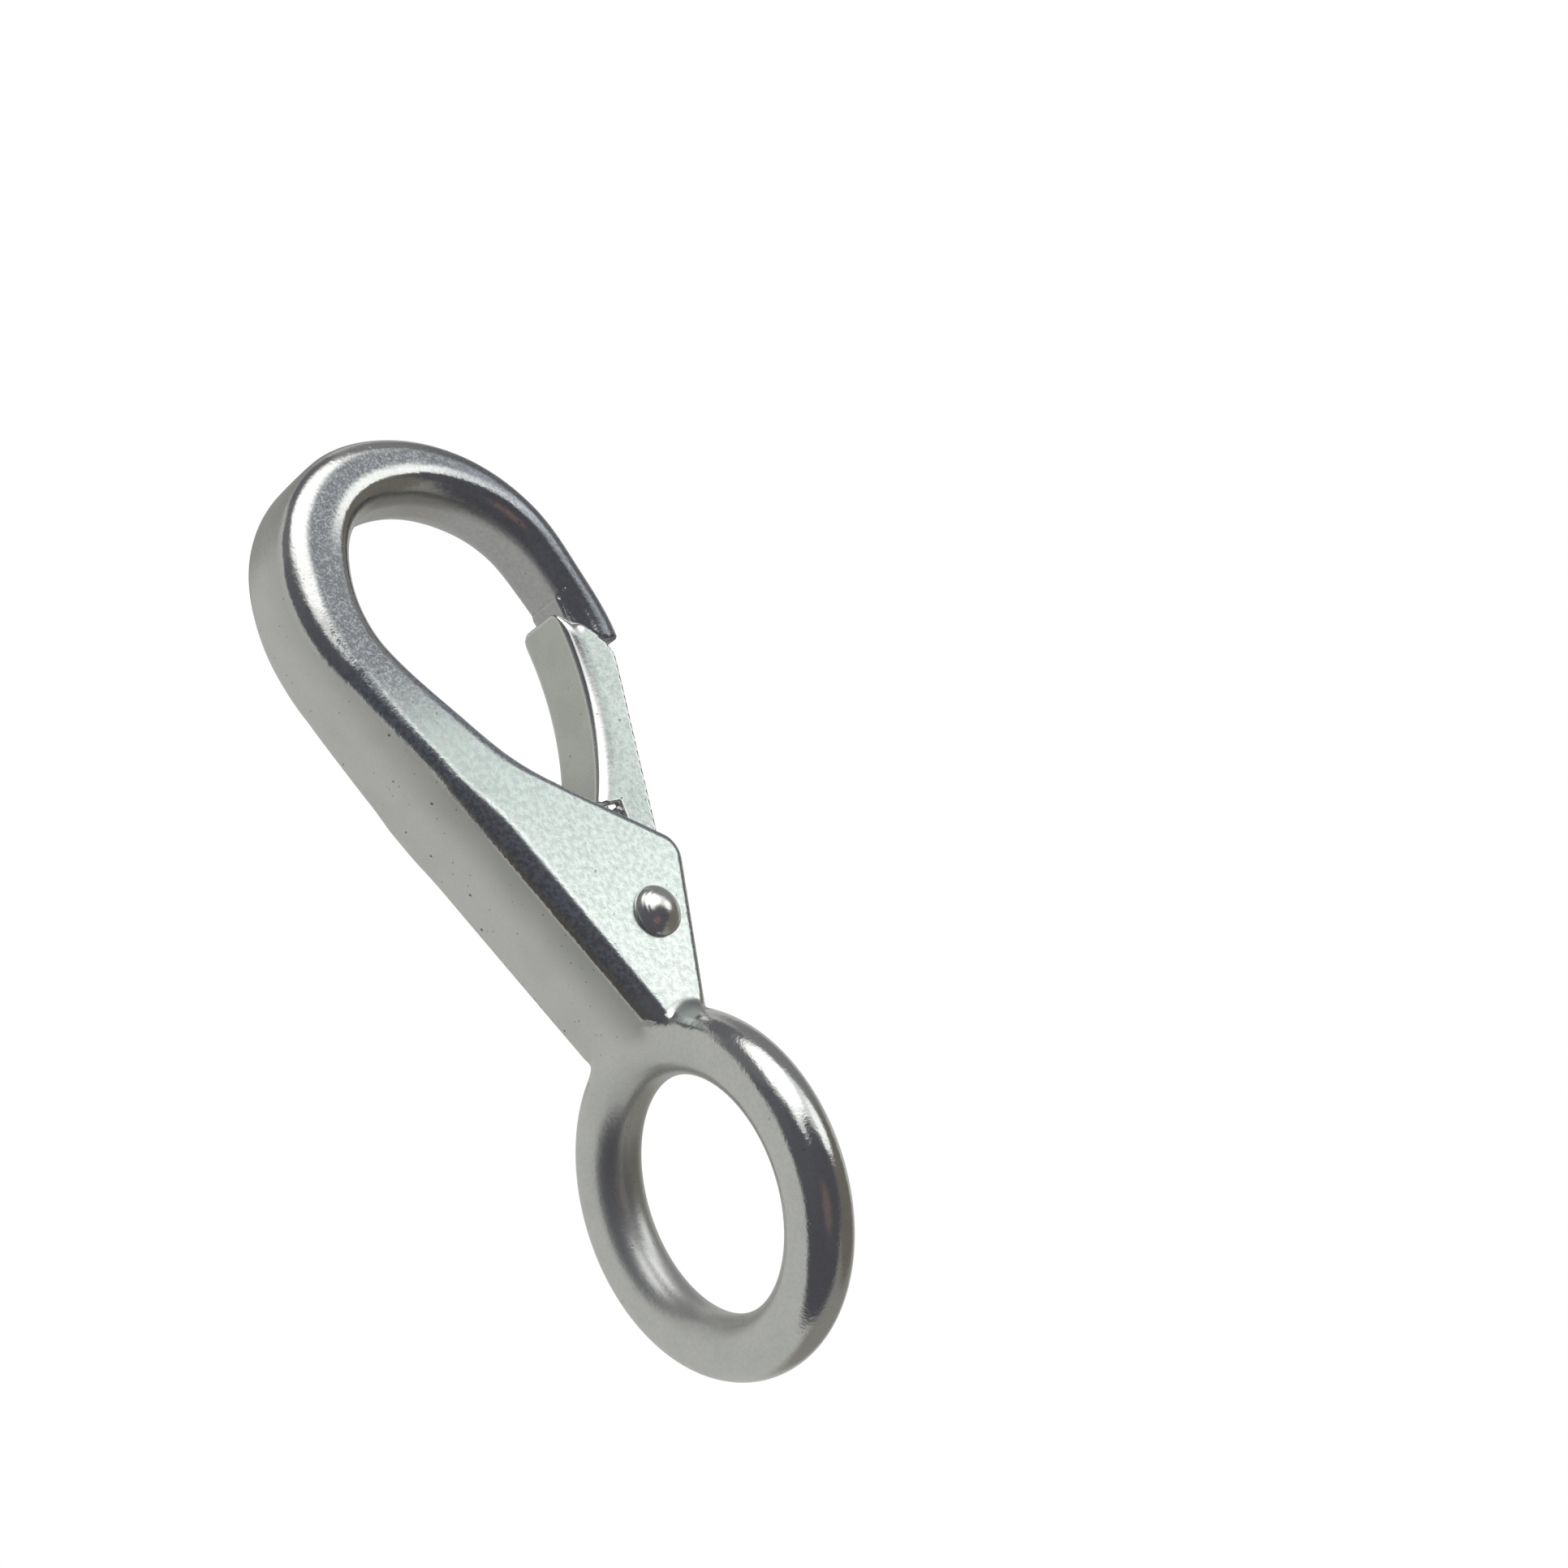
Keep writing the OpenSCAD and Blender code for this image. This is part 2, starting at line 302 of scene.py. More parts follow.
CHEEK_LOW_LINE = hull_of_discs(CHEEK_LOW)
CHEEK_HIGH_LINE = hull_of_discs(CHEEK_HIGH)
NOSE_CUT = [(-30.0, 56.0), (2.0, 50.95), (4.6, 49.15), (6.4, 47.45), (8.2, 45.35), (8.7, 44.15),
            (8.9, 38.0), (-30.0, 38.0)]
TONGUE = [(4.0, 50.0), (4.0, 45.6), (7.0, 45.6), (8.0, 46.6), (8.0, 50.0)]
SLOT_LINE = [(-3.2, 18.2), (-5.8, 38.0), (20.0, 38.0), (20.0, 18.2)]


def planar_parts(x, z):
    """Everything of the body that depends on x and z alone."""
    offset, past, (width, half, deep, wide, deep_in, wide_in, crown) = on_bar(x, z)
    half = half - crown * np.clip(CROWN_AT - offset - width / 2, 0.0, CROWN_AT) ** 2
    bar = np.maximum(np.abs(offset) - width / 2, past)
    cheek = np.minimum(polygon_distance(x, z, CHEEK_LOW_LINE), polygon_distance(x, z, CHEEK_HIGH_LINE))
    flat = soft_min(bar, cheek, 0.3 + 2.4 * ramp(z, 27.0, 33.0))
    side = ramp(offset, -0.3 * width, 0.3 * width)
    to_cheek = ramp(bar - cheek, -1.5, 1.5)
    deep = deep_in + (deep - deep_in) * side
    wide = wide_in + (wide - wide_in) * side
    deep += (CHEEK_EDGE_R - deep) * to_cheek
    wide += (CHEEK_EDGE_R - wide) * to_cheek
    lip = math.radians(LIP_DEG) * ramp(offset / width, 0.1, 0.3) * (1.0 - ramp(z, 26.0, 41.0)) + 1e-4
    return dict(
        lip=lip, crown=crown,
        flat=flat, half=half, deep=deep, wide=wide, offset=offset, width=width, bar=bar, cheek=cheek,
        cut=np.where((x > 0.0) & (z > 40.0), polygon_distance(x, z, NOSE_CUT), 50.0),
        tongue=polygon_distance(x, z, TONGUE),
        slot=polygon_distance(x, z, SLOT_LINE),
        web=np.hypot(x - WEB_X, z - WEB_Z) - (WEB_R + SHEET_T + 0.05),
        pin=np.hypot(x - PIN_X, z - PIN_Z),
    )


def body_distance(x, y, z, flat=None):
    q = planar_parts(x, z) if flat is None else flat
    block = edged_slab(q["flat"], y, q["half"], q["deep"], q["wide"], q["lip"])
    block = soft_max(block, -q["cut"], 0.35)
    tongue = rounded_slab(q["tongue"], y, TONGUE_HALF, 0.3)
    tongue = soft_max(tongue, TONGUE_SINK - q["web"], 0.3)
    block = soft_min(block, tongue, 0.5)
    ring = np.hypot(np.hypot(y, z) - EYE_RING_R, x) - EYE_BAR_R
    # the spine's root runs smoothly into the ring; the thicker cheeks end on the ring in a small step
    across_ring = np.hypot(y, z)
    root = edged_slab(q["flat"], y, ROOT_HALF, ROOT_DEEP, ROOT_WIDE, 1e-4)
    root = soft_max(root, z - ROOT_TOP, 0.5)
    root = soft_max(root, EYE_RING_R - ROOT_IN - across_ring, 1.2)
    solid = soft_min(root, ring, 1.6)
    plate = soft_max(block, CHEEKS_FROM - across_ring, 0.4)
    solid = soft_min(solid, plate, 0.02 + 0.33 * ramp(np.abs(y), 2.2, 3.6))
    slot = np.maximum(q["slot"], np.abs(y) - SLOT_HALF)
    solid = soft_max(solid, -slot, 0.45)
    return soft_max(solid, RIVET_BORE_R - q["pin"], 0.15)


# --------------------------------------------------------------- the gate


def gate_outline():
    ear = [(PIN_X + EAR_R * math.cos(math.radians(a)), PIN_Z + EAR_R * math.sin(math.radians(a)))
           for a in range(0, -201, -8)]
    notch = [(0.4, WEB_FOOT_Z - 1.4), (3.3, WEB_FOOT_Z - 1.4), (3.3, WEB_FOOT_Z), (-1.0, WEB_FOOT_Z)]
    return GATE_TOP + GATE_FRONT + ear + notch


GATE_LINE = gate_outline()


def gate_distance(x, y, z, flat=None):
    q = gate_parts(x, z) if flat is None else flat
    ay = np.abs(y)
    # channel: a round-cornered box in (distance from the bow's centre, y), open outwards
    a, b = (WEB_R - q["rho"]) / FOLD_WIDE + 1.0, (ay - GATE_HALF) / FOLD_DEEP + 1.0
    outer = np.minimum(np.maximum(a, b), 0.0) + np.hypot(np.maximum(a, 0.0), np.maximum(b, 0.0)) - 1.0
    outer *= FOLD_DEEP
    r = FOLD_R - SHEET_T
    a, b = WEB_R + SHEET_T + r - q["rho"], ay - (GATE_HALF - SHEET_T - r)
    inner = np.minimum(np.maximum(a, b), 0.0) + np.hypot(np.maximum(a, 0.0), np.maximum(b, 0.0)) - r
    sheet = soft_max(outer, -inner, 0.3)
    # the web's top corners are rounded off, seen from the front
    top = rounded_slab(q["side"], y, GATE_HALF + 0.05, 1.6 * q["near_web"] + 0.02)
    sheet = soft_max(sheet, top, 0.5)
    gap = np.maximum(z - WEB_FOOT_Z, ay - (GATE_HALF - SHEET_T))
    sheet = soft_max(sheet, -gap, 0.25)
    return soft_max(sheet, EAR_BORE_R - q["pin"], 0.12)


def gate_parts(x, z):
    rho = np.hypot(x - WEB_X, z - WEB_Z)
    return dict(
        rho=rho,
        side=polygon_distance(x, z, GATE_LINE),
        pin=np.hypot(x - PIN_X, z - PIN_Z),
        near_web=(1.0 - ramp(rho, WEB_R + 0.9, WEB_R + 2.4)) * ramp(z, 42.0, 46.0),
    )


# ------------------------------------------------------------ surface meshes


def surface_nets(values, low, step):
    """Quads of the zero surface of a field on a regular grid."""
    inside = values < 0
    nx, ny, nz = values.shape
    corner = [(i, j, k) for i in (0, 1) for j in (0, 1) for k in (0, 1)]
    count = np.zeros((nx - 1, ny - 1, nz - 1), np.int8)
    for i, j, k in corner:
        count += inside[i:nx - 1 + i, j:ny - 1 + j, k:nz - 1 + k]
    mixed = (count > 0) & (count < 8)
    cells = np.argwhere(mixed)
    index = np.full(mixed.shape, -1, np.int64)
    index[mixed] = np.arange(len(cells))
    total = np.zeros((len(cells), 3))
    hits = np.zeros(len(cells))
    for a in corner:
        for axis in range(3):
            if a[axis]:
                continue
            b = list(a)
            b[axis] = 1
            va = values[cells[:, 0] + a[0], cells[:, 1] + a[1], cells[:, 2] + a[2]]
            vb = values[cells[:, 0] + b[0], cells[:, 1] + b[1], cells[:, 2] + b[2]]
            cross = (va < 0) != (vb < 0)
            t = np.where(cross, va / np.where(cross, va - vb, 1.0), 0.0)
            point = np.array(a, float)[None].repeat(len(cells), 0)
            point[:, axis] += t
            total += point * cross[:, None]
            hits += cross
    points = low + (cells + total / hits[:, None]) * step
    quads = []
    for axis in range(3):
        b, c = (axis + 1) % 3, (axis + 2) % 3
        first = np.moveaxis(inside, axis, 0)
        change = first[:-1] != first[1:]
        where = np.argwhere(change)
        starts = first[:-1][change]
        grid = np.zeros_like(where)
        grid[:, axis] = where[:, 0]
        rest = [k for k in range(3) if k != axis]
        grid[:, rest[0]], grid[:, rest[1]] = where[:, 1], where[:, 2]
        fine = (grid[:, b] > 0) & (grid[:, c] > 0)
        fine &= (grid[:, b] < values.shape[b] - 1) & (grid[:, c] < values.shape[c] - 1)
        grid, starts = grid[fine], starts[fine]
        ring = []
        for db, dc in ((1, 1), (0, 1), (0, 0), (1, 0)):
            g = grid.copy()
            g[:, b] -= db
            g[:, c] -= dc
            ring.append(index[g[:, 0], g[:, 1], g[:, 2]])
        ring = np.stack(ring, 1)
        ring[~starts] = ring[~starts][:, ::-1]
        quads.append(ring)
    return points, np.concatenate(quads)


def slope(distance, planar, p, h=0.02):
    """Gradient of a distance function at points p."""
    x, y, z = p.T
    here = planar(x, z)
    dy = distance(x, y + h, z, here) - distance(x, y - h, z, here)
    dx = distance(x + h, y, z) - distance(x - h, y, z)
    dz = distance(x, y, z + h) - distance(x, y, z - h)
    return np.stack([dx, dy, dz], 1) / (2 * h), distance(x, y, z, here)


def implicit_mesh(name, distance, planar, low, high, step, relax=2):
    """A mesh of quads on the zero surface of distance(x, y, z), with its true normals."""
    low, high = np.array(low, float), np.array(high, float)
    size = np.ceil((high - low) / step).astype(int) + 1
    axes = [low[i] + step * np.arange(size[i]) for i in range(3)]
    gx, gz = np.meshgrid(axes[0], axes[2], indexing="ij")
    flat = {key: v.reshape(gx.shape) for key, v in planar(gx.ravel(), gz.ravel()).items()}
    values = np.empty(size, np.float64)
    for j, y in enumerate(axes[1]):
        values[:, j, :] = distance(gx, np.full(gx.shape, y), gz, flat)
    points, quads = surface_nets(values, low, step)
    edges = np.concatenate([quads[:, [0, 1]], quads[:, [1, 2]], quads[:, [2, 3]], quads[:, [3, 0]]])
    for turn in range(relax + 1):
        if turn:
            total, hits = np.zeros_like(points), np.zeros(len(points))
            for a, b in ((0, 1), (1, 0)):
                for axis in range(3):
                    total[:, axis] += np.bincount(edges[:, a], points[edges[:, b], axis], len(points))
                hits += np.bincount(edges[:, a], minlength=len(points))
            points = points + 0.5 * (total / hits[:, None] - points)
        for _ in range(2 if turn == relax else 1):
            grad, value = slope(distance, planar, points)
            move = grad * (value / np.maximum((grad ** 2).sum(1), 0.05))[:, None]
            reach = np.linalg.norm(move, axis=1)
            move *= np.minimum(1.0, 0.5 * step / np.maximum(reach, 1e-9))[:, None]
            points = points - move
    grad, _ = slope(distance, planar, points)
    normals = grad / np.maximum(np.linalg.norm(grad, axis=1), 1e-6)[:, None]
    bend = np.zeros(len(points))
    for a, b in ((0, 1), (1, 0)):
        step_to = points[edges[:, b]] - points[edges[:, a]]
        turn_to = normals[edges[:, b]] - normals[edges[:, a]]
        bend += np.bincount(edges[:, a], (step_to * turn_to).sum(1) / (step_to ** 2).sum(1), len(points))
    bend /= hits
    mesh = mesh_from(name, points, quads)
    mesh.normals_split_custom_set_from_vertices([Vector(n) for n in normals])
    piece = bpy.data.objects.new(name, mesh)
    bpy.context.scene.collection.objects.link(piece)
    return piece, points, normals, bend


def mesh_from(name, points, faces):
    """A smooth-shaded mesh from points in millimetres."""
    mesh = bpy.data.meshes.new(name)
    places = [tuple(p) for p in np.asarray(points) * MM]
    mesh.from_pydata(places, [], [tuple(int(i) for i in f) for f in faces])
    mesh.validate()
    mesh.polygons.foreach_set("use_smooth", [True] * len(mesh.polygons))
    mesh.update()
    return mesh


# The box searched for each surface, and its grid's step
BODY_LOW, BODY_HIGH, BODY_STEP = (-20.2, -15.6, -15.6), (11.4, 15.6, 66.0), 0.3
GATE_LOW, GATE_HIGH, GATE_STEP = (-3.4, -3.8, 17.8), (9.5, 3.8, 50.0), 0.15

body, body_points, body_normals, body_bend = implicit_mesh(
    "cast_hook", body_distance, planar_parts, BODY_LOW, BODY_HIGH, BODY_STEP)
gate, _, gate_normals, gate_bend = implicit_mesh(
    "sheet_gate", gate_distance, gate_parts, GATE_LOW, GATE_HIGH, GATE_STEP)


def lathe(name, profile, sides):
    """A solid turned about the rivet's axis from (radius, y) pairs, first and last at radius 0."""
    points, faces = [], []
    rings = profile[1:-1]
    points.append((PIN_X, profile[0][1], PIN_Z))
    for r, y in rings:
        for i in range(sides):
            a = 2 * math.pi * i / sides
            points.append((PIN_X + r * math.cos(a), y, PIN_Z + r * math.sin(a)))
    points.append((PIN_X, profile[-1][1], PIN_Z))
    end = len(points) - 1
    for i in range(sides):
        j = (i + 1) % sides
        faces.append((0, 1 + i, 1 + j))
        for k in range(len(rings) - 1):
            a = 1 + k * sides
            b = a + sides
            faces.append((a + i, b + i, b + j, a + j))
        faces.append((end, end - sides + j, end - sides + i))
    piece = bpy.data.objects.new(name, mesh_from(name, points, faces))
    bpy.context.scene.collection.objects.link(piece)
    return piece


def rivet_profile():
    """Shank and two formed heads: a short rim, then a dome with two faint turned rings."""
    head_r, rim, height = 2.1, 0.3, 1.4
    dome = height - rim
    ball = (head_r ** 2 + dome ** 2) / (2 * dome)
    half = [(1.5, 0.0), (1.5, 3.35), (1.5, 5.38), (1.56, 5.46), (1.9, 5.49), (2.02, 5.5), (2.08, 5.54),
            (2.1, 5.62), (2.1, 5.74), (2.09, 5.79)]
    steps = 34
    top = math.asin(head_r / ball)
    for i in range(1, steps):
        a = top * (1 - i / steps)
        r = ball * math.sin(a)
        y = HALF_T + rim + ball * math.cos(a) - (ball - dome)
        ring = 0.018 * math.exp(-((r - 1.45) / 0.07) ** 2) + 0.012 * math.exp(-((r - 1.72) / 0.06) ** 2)
        half.append((r, y - ring))
    half.append((0.0, HALF_T + height))
    return [(r, -y) for r, y in half[::-1]] + half[1:]


RIVET_SIDES = 96
rivet = lathe("rivet_pin", rivet_profile(), RIVET_SIDES)

# ------------------------------------------------------------- the spring

WIRE_R = 0.3
SPRING_R = 2.0
SPRING_Y = 1.55
SPRING_TURNS = 4
COIL_FROM, COIL_TO = -2.0, -158.0 - 360.0 * SPRING_TURNS


def spring_line():
    def coil(t):
        a = math.radians(COIL_FROM + (COIL_TO - COIL_FROM) * t)
        return (PIN_X + SPRING_R * math.cos(a), SPRING_Y * (2 * t - 1), PIN_Z + SPRING_R * math.sin(a))

    line = [(2.9, -3.3, 30.95), (2.9, -2.75, 30.95), (2.9, -2.3, 30.95), (2.9, -1.95, 30.88),
            (2.88, -1.75, 30.7), (2.87, -1.62, 30.3), (2.85, -1.56, 29.8)]
    line += [(2.62 + (z - 22) * 0.035, -SPRING_Y, z) for z in (29, 28, 27, 26, 25, 24, 23)]
    steps = 48 * SPRING_TURNS + 20
    line += [coil(i / steps) for i in range(steps + 1)]
    x, y, z = coil(1.0)
    line += [(x - 0.375 * s, y, z + 0.927 * s) for s in (0.8, 1.6, 2.4, 3.2, 4, 5, 6, 7, 8.3)]
    return np.array(line)


def wire(name, line, r, sides):
    """A round wire along a line, with rounded ends."""
    tangent = np.gradient(line, axis=0)
    tangent /= np.linalg.norm(tangent, axis=1)[:, None]
    side = np.cross(tangent[0], (0.0, 0.0, 1.0))
    side /= np.linalg.norm(side)
    rings = []
    for p, t in zip(line, tangent):
        side = side - t * side.dot(t)
        side /= np.linalg.norm(side)
        rings.append((p, t, side, np.cross(t, side), r))
    first, last = rings[0], rings[-1]
    start = [(first[0] - first[1] * 0.3 * r * math.sin(a), *first[1:4], r * math.cos(a))
             for a in (1.35, 0.9, 0.45)]
    end = [(last[0] + last[1] * 0.3 * r * math.sin(a), *last[1:4], r * math.cos(a))
           for a in (0.45, 0.9, 1.35)]
    points, faces = [], []
    for p, t, a, b, radius in start + rings + end:
        for i in range(sides):
            q = 2 * math.pi * i / sides
            points.append(p + radius * (a * math.cos(q) + b * math.sin(q)))
    count = len(points) // sides
    for k in range(count - 1):
        for i in range(sides):
            j = (i + 1) % sides
            faces.append((k * sides + i, k * sides + j, (k + 1) * sides + j, (k + 1) * sides + i))
    faces.append(tuple(range(sides))[::-1])
    faces.append(tuple((count - 1) * sides + i for i in range(sides)))
    piece = bpy.data.objects.new(name, mesh_from(name, points, faces))
    bpy.context.scene.collection.objects.link(piece)
    return piece


WIRE_SIDES = 16
spring = wire("torsion_spring", spring_line(), WIRE_R, WIRE_SIDES)

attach(body, "hook")
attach(gate, "gate")
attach(rivet, "hook")
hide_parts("body")
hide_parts("gate")
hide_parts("rivet")
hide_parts("spring")
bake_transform(spring)

# ---------------------------------------------------------------- materials


def paint(piece, name, values):
    """Puts a number on every vertex for the piece's material to read."""
    layer = piece.data.attributes.new(name, "FLOAT", "POINT")
    layer.data.foreach_set("value", np.asarray(values, np.float32))


class Graph:
    """One metal's nodes. Lengths are millimetres in the piece's own frame."""

    def __init__(self, name, metallic=1.0):
        self.mat = bpy.data.materials.new(name)
        self.mat.use_nodes = True
        self.nodes, self.links = self.mat.node_tree.nodes, self.mat.node_tree.links
        self.shader = self.nodes["Principled BSDF"]
        self.shader.inputs["Metallic"].default_value = metallic
        coord = self.nodes.new("ShaderNodeTexCoord")
        scaled = self.node("ShaderNodeVectorMath", {
            0: coord.outputs["Object"], "Scale": 1.0 / MM}, operation="SCALE")
        self.place = scaled.outputs[0]

    def join(self, value, socket):
        if hasattr(value, "links"):
            self.links.new(value, socket)
        elif isinstance(value, tuple) and socket.type == "RGBA":
            socket.default_value = (*value, 1.0)
        else:
            socket.default_value = value

    def node(self, kind, inputs, **settings):
        node = self.nodes.new(kind)
        for key, value in settings.items():
            setattr(node, key, value)
        for key, value in inputs.items():
            self.join(value, node.inputs[key])
        return node

    def noise(self, size, detail=3.0, rough=0.55, place=None):
        return self.node("ShaderNodeTexNoise", {
            "Vector": self.place if place is None else place, "Scale": 1.0 / size,
            "Detail": detail, "Roughness": rough}).outputs[0]

    def cells(self, size):
        return self.node("ShaderNodeTexVoronoi", {
            "Vector": self.place, "Scale": 1.0 / size}).outputs["Distance"]

    def span(self, value, low, high, to_low=0.0, to_high=1.0):
        return self.node("ShaderNodeMapRange", {
            "Value": value, "From Min": low, "From Max": high, "To Min": to_low, "To Max": to_high},
            interpolation_type="SMOOTHSTEP").outputs["Result"]

    def math(self, op, a, b=0.0):
        return self.node("ShaderNodeMath", {0: a, 1: b}, operation=op).outputs[0]

    def mark(self, name):
        return self.node("ShaderNodeAttribute", {}, attribute_name=name).outputs["Fac"]

    def lerp(self, share, a, b):
        """Number between a and b."""
        return self.node("ShaderNodeMix", {0: share, 2: a, 3: b}, data_type="FLOAT").outputs[0]

    def tint(self, share, a, b, kind="MIX"):
        """Colour between a and b."""
        return self.node("ShaderNodeMix", {
            0: share, 6: a, 7: b}, data_type="RGBA", blend_type=kind).outputs[2]

    def near(self, point, inner, outer):
        """1 within inner of a point, 0 beyond outer."""
        far = self.node("ShaderNodeVectorMath", {
            0: self.place, 1: point}, operation="DISTANCE").outputs["Value"]
        return self.span(far, outer, inner)

    def finish(self, colour, rough, height):
        """Height is in millimetres."""
        self.join(colour, self.shader.inputs["Base Color"])
        self.join(rough, self.shader.inputs["Roughness"])
        bump = self.node("ShaderNodeBump", {"Height": height, "Distance": MM, "Strength": 1.0})
        self.join(bump.outputs[0], self.shader.inputs["Normal"])
        return self.mat


def mark_body():
    """Where each finish of the casting lies, and where highlight and shade are painted on it."""
    x, y, z = body_points.T
    _, ny, nz = body_normals.T
    parts = planar_parts(x, z)
    ring_gap = np.hypot(np.hypot(y, z) - EYE_RING_R, x) - EYE_BAR_R
    ring = (1.0 - ramp(ring_gap, 0.1, 1.0)) * (1.0 - ramp(z, 13.0, 16.0))
    rest = 1.0 - ring
    lying = np.abs(ny)
    outside = ramp(parts["offset"] / parts["width"], -0.1, 0.1) * (parts["bar"] < parts["cheek"] + 1.0)
    flat_part = ramp(-parts["flat"] / parts["wide"], 0.75, 1.0) * ramp(lying, 0.75, 0.85) * rest
    paint(body, "face", flat_part * (1.0 - ramp(z, 50.0, 58.0)))
    paint(body, "high", ramp(z, 15.0, 36.0))
    # Painted highlight: a thin band just inside the face's outer edge, marked to be lightened in the
    # material. It is also made smoother.
    paint(body, "painted_crest_highlight", outside * flat_part * ramp(z, 18.0, 24.0) * (1.0 - ramp(z, 40.0, 48.0))
          * (1.0 - ramp(np.abs(parts["flat"] / parts["wide"] + 1.12), 0.03, 0.18)))
    from_inner = parts["offset"] + parts["width"] / 2
    arc = parts["crown"] / CROWN * (1.0 - ramp(from_inner, CROWN_AT - 0.35, CROWN_AT))
    paint(body, "grain", flat_part * ramp(z, 37.0, 47.0) * (1.0 - arc))
    paint(body, "rim", (1.0 - ramp(lying, 0.2, 0.45)) * outside * rest)
    paint(body, "shade", ramp(-y, -0.5, 4.6) * (1.0 - 0.6 * ramp(z, 25.0, 60.0)) * rest)
    paint(body, "lip", (1.0 - ramp(np.abs(lying - 0.5), 0.04, 0.12)) * outside * rest
          * (1.0 - ramp(z, 34.0, 42.0)))
    paint(body, "fillet", ramp(lying, 0.3, 0.6) * (1.0 - flat_part) * rest
          * (1.0 - ramp(z, 42.0, 50.0)) * ramp(z, 14.5, 17.0))
    inside = 1.0 - ramp(parts["offset"] / parts["width"], -0.2, 0.05)
    paint(body, "nose", ramp(x + 0.4 * (z - 50.0), 0.0, 7.0) * ramp(z, 40.0, 46.0) * (1.0 - 0.7 * inside))
    bore = ring * ramp(-(y * ny + z * nz) / np.maximum(np.hypot(y, z), 1.0), 0.1, 0.6)
    paint(body, "bore", bore)
    # Painted shade: the bar's inner side, off the flat faces, is marked to be darkened to a mauve-grey.
    paint(body, "under", inside * (1.0 - ramp(lying, 0.25, 0.8)) * rest)
    paint(body, "scrape", (1.0 - ramp(np.abs(x + 0.2), 1.1, 1.4)) * ramp(-y, 5.5, 5.8)
          * (1.0 - ramp(-y, 7.4, 7.8)) * ramp(z, 10.5, 11.5))
    paint(body, "edge", ramp(body_bend, 0.35, 0.8))


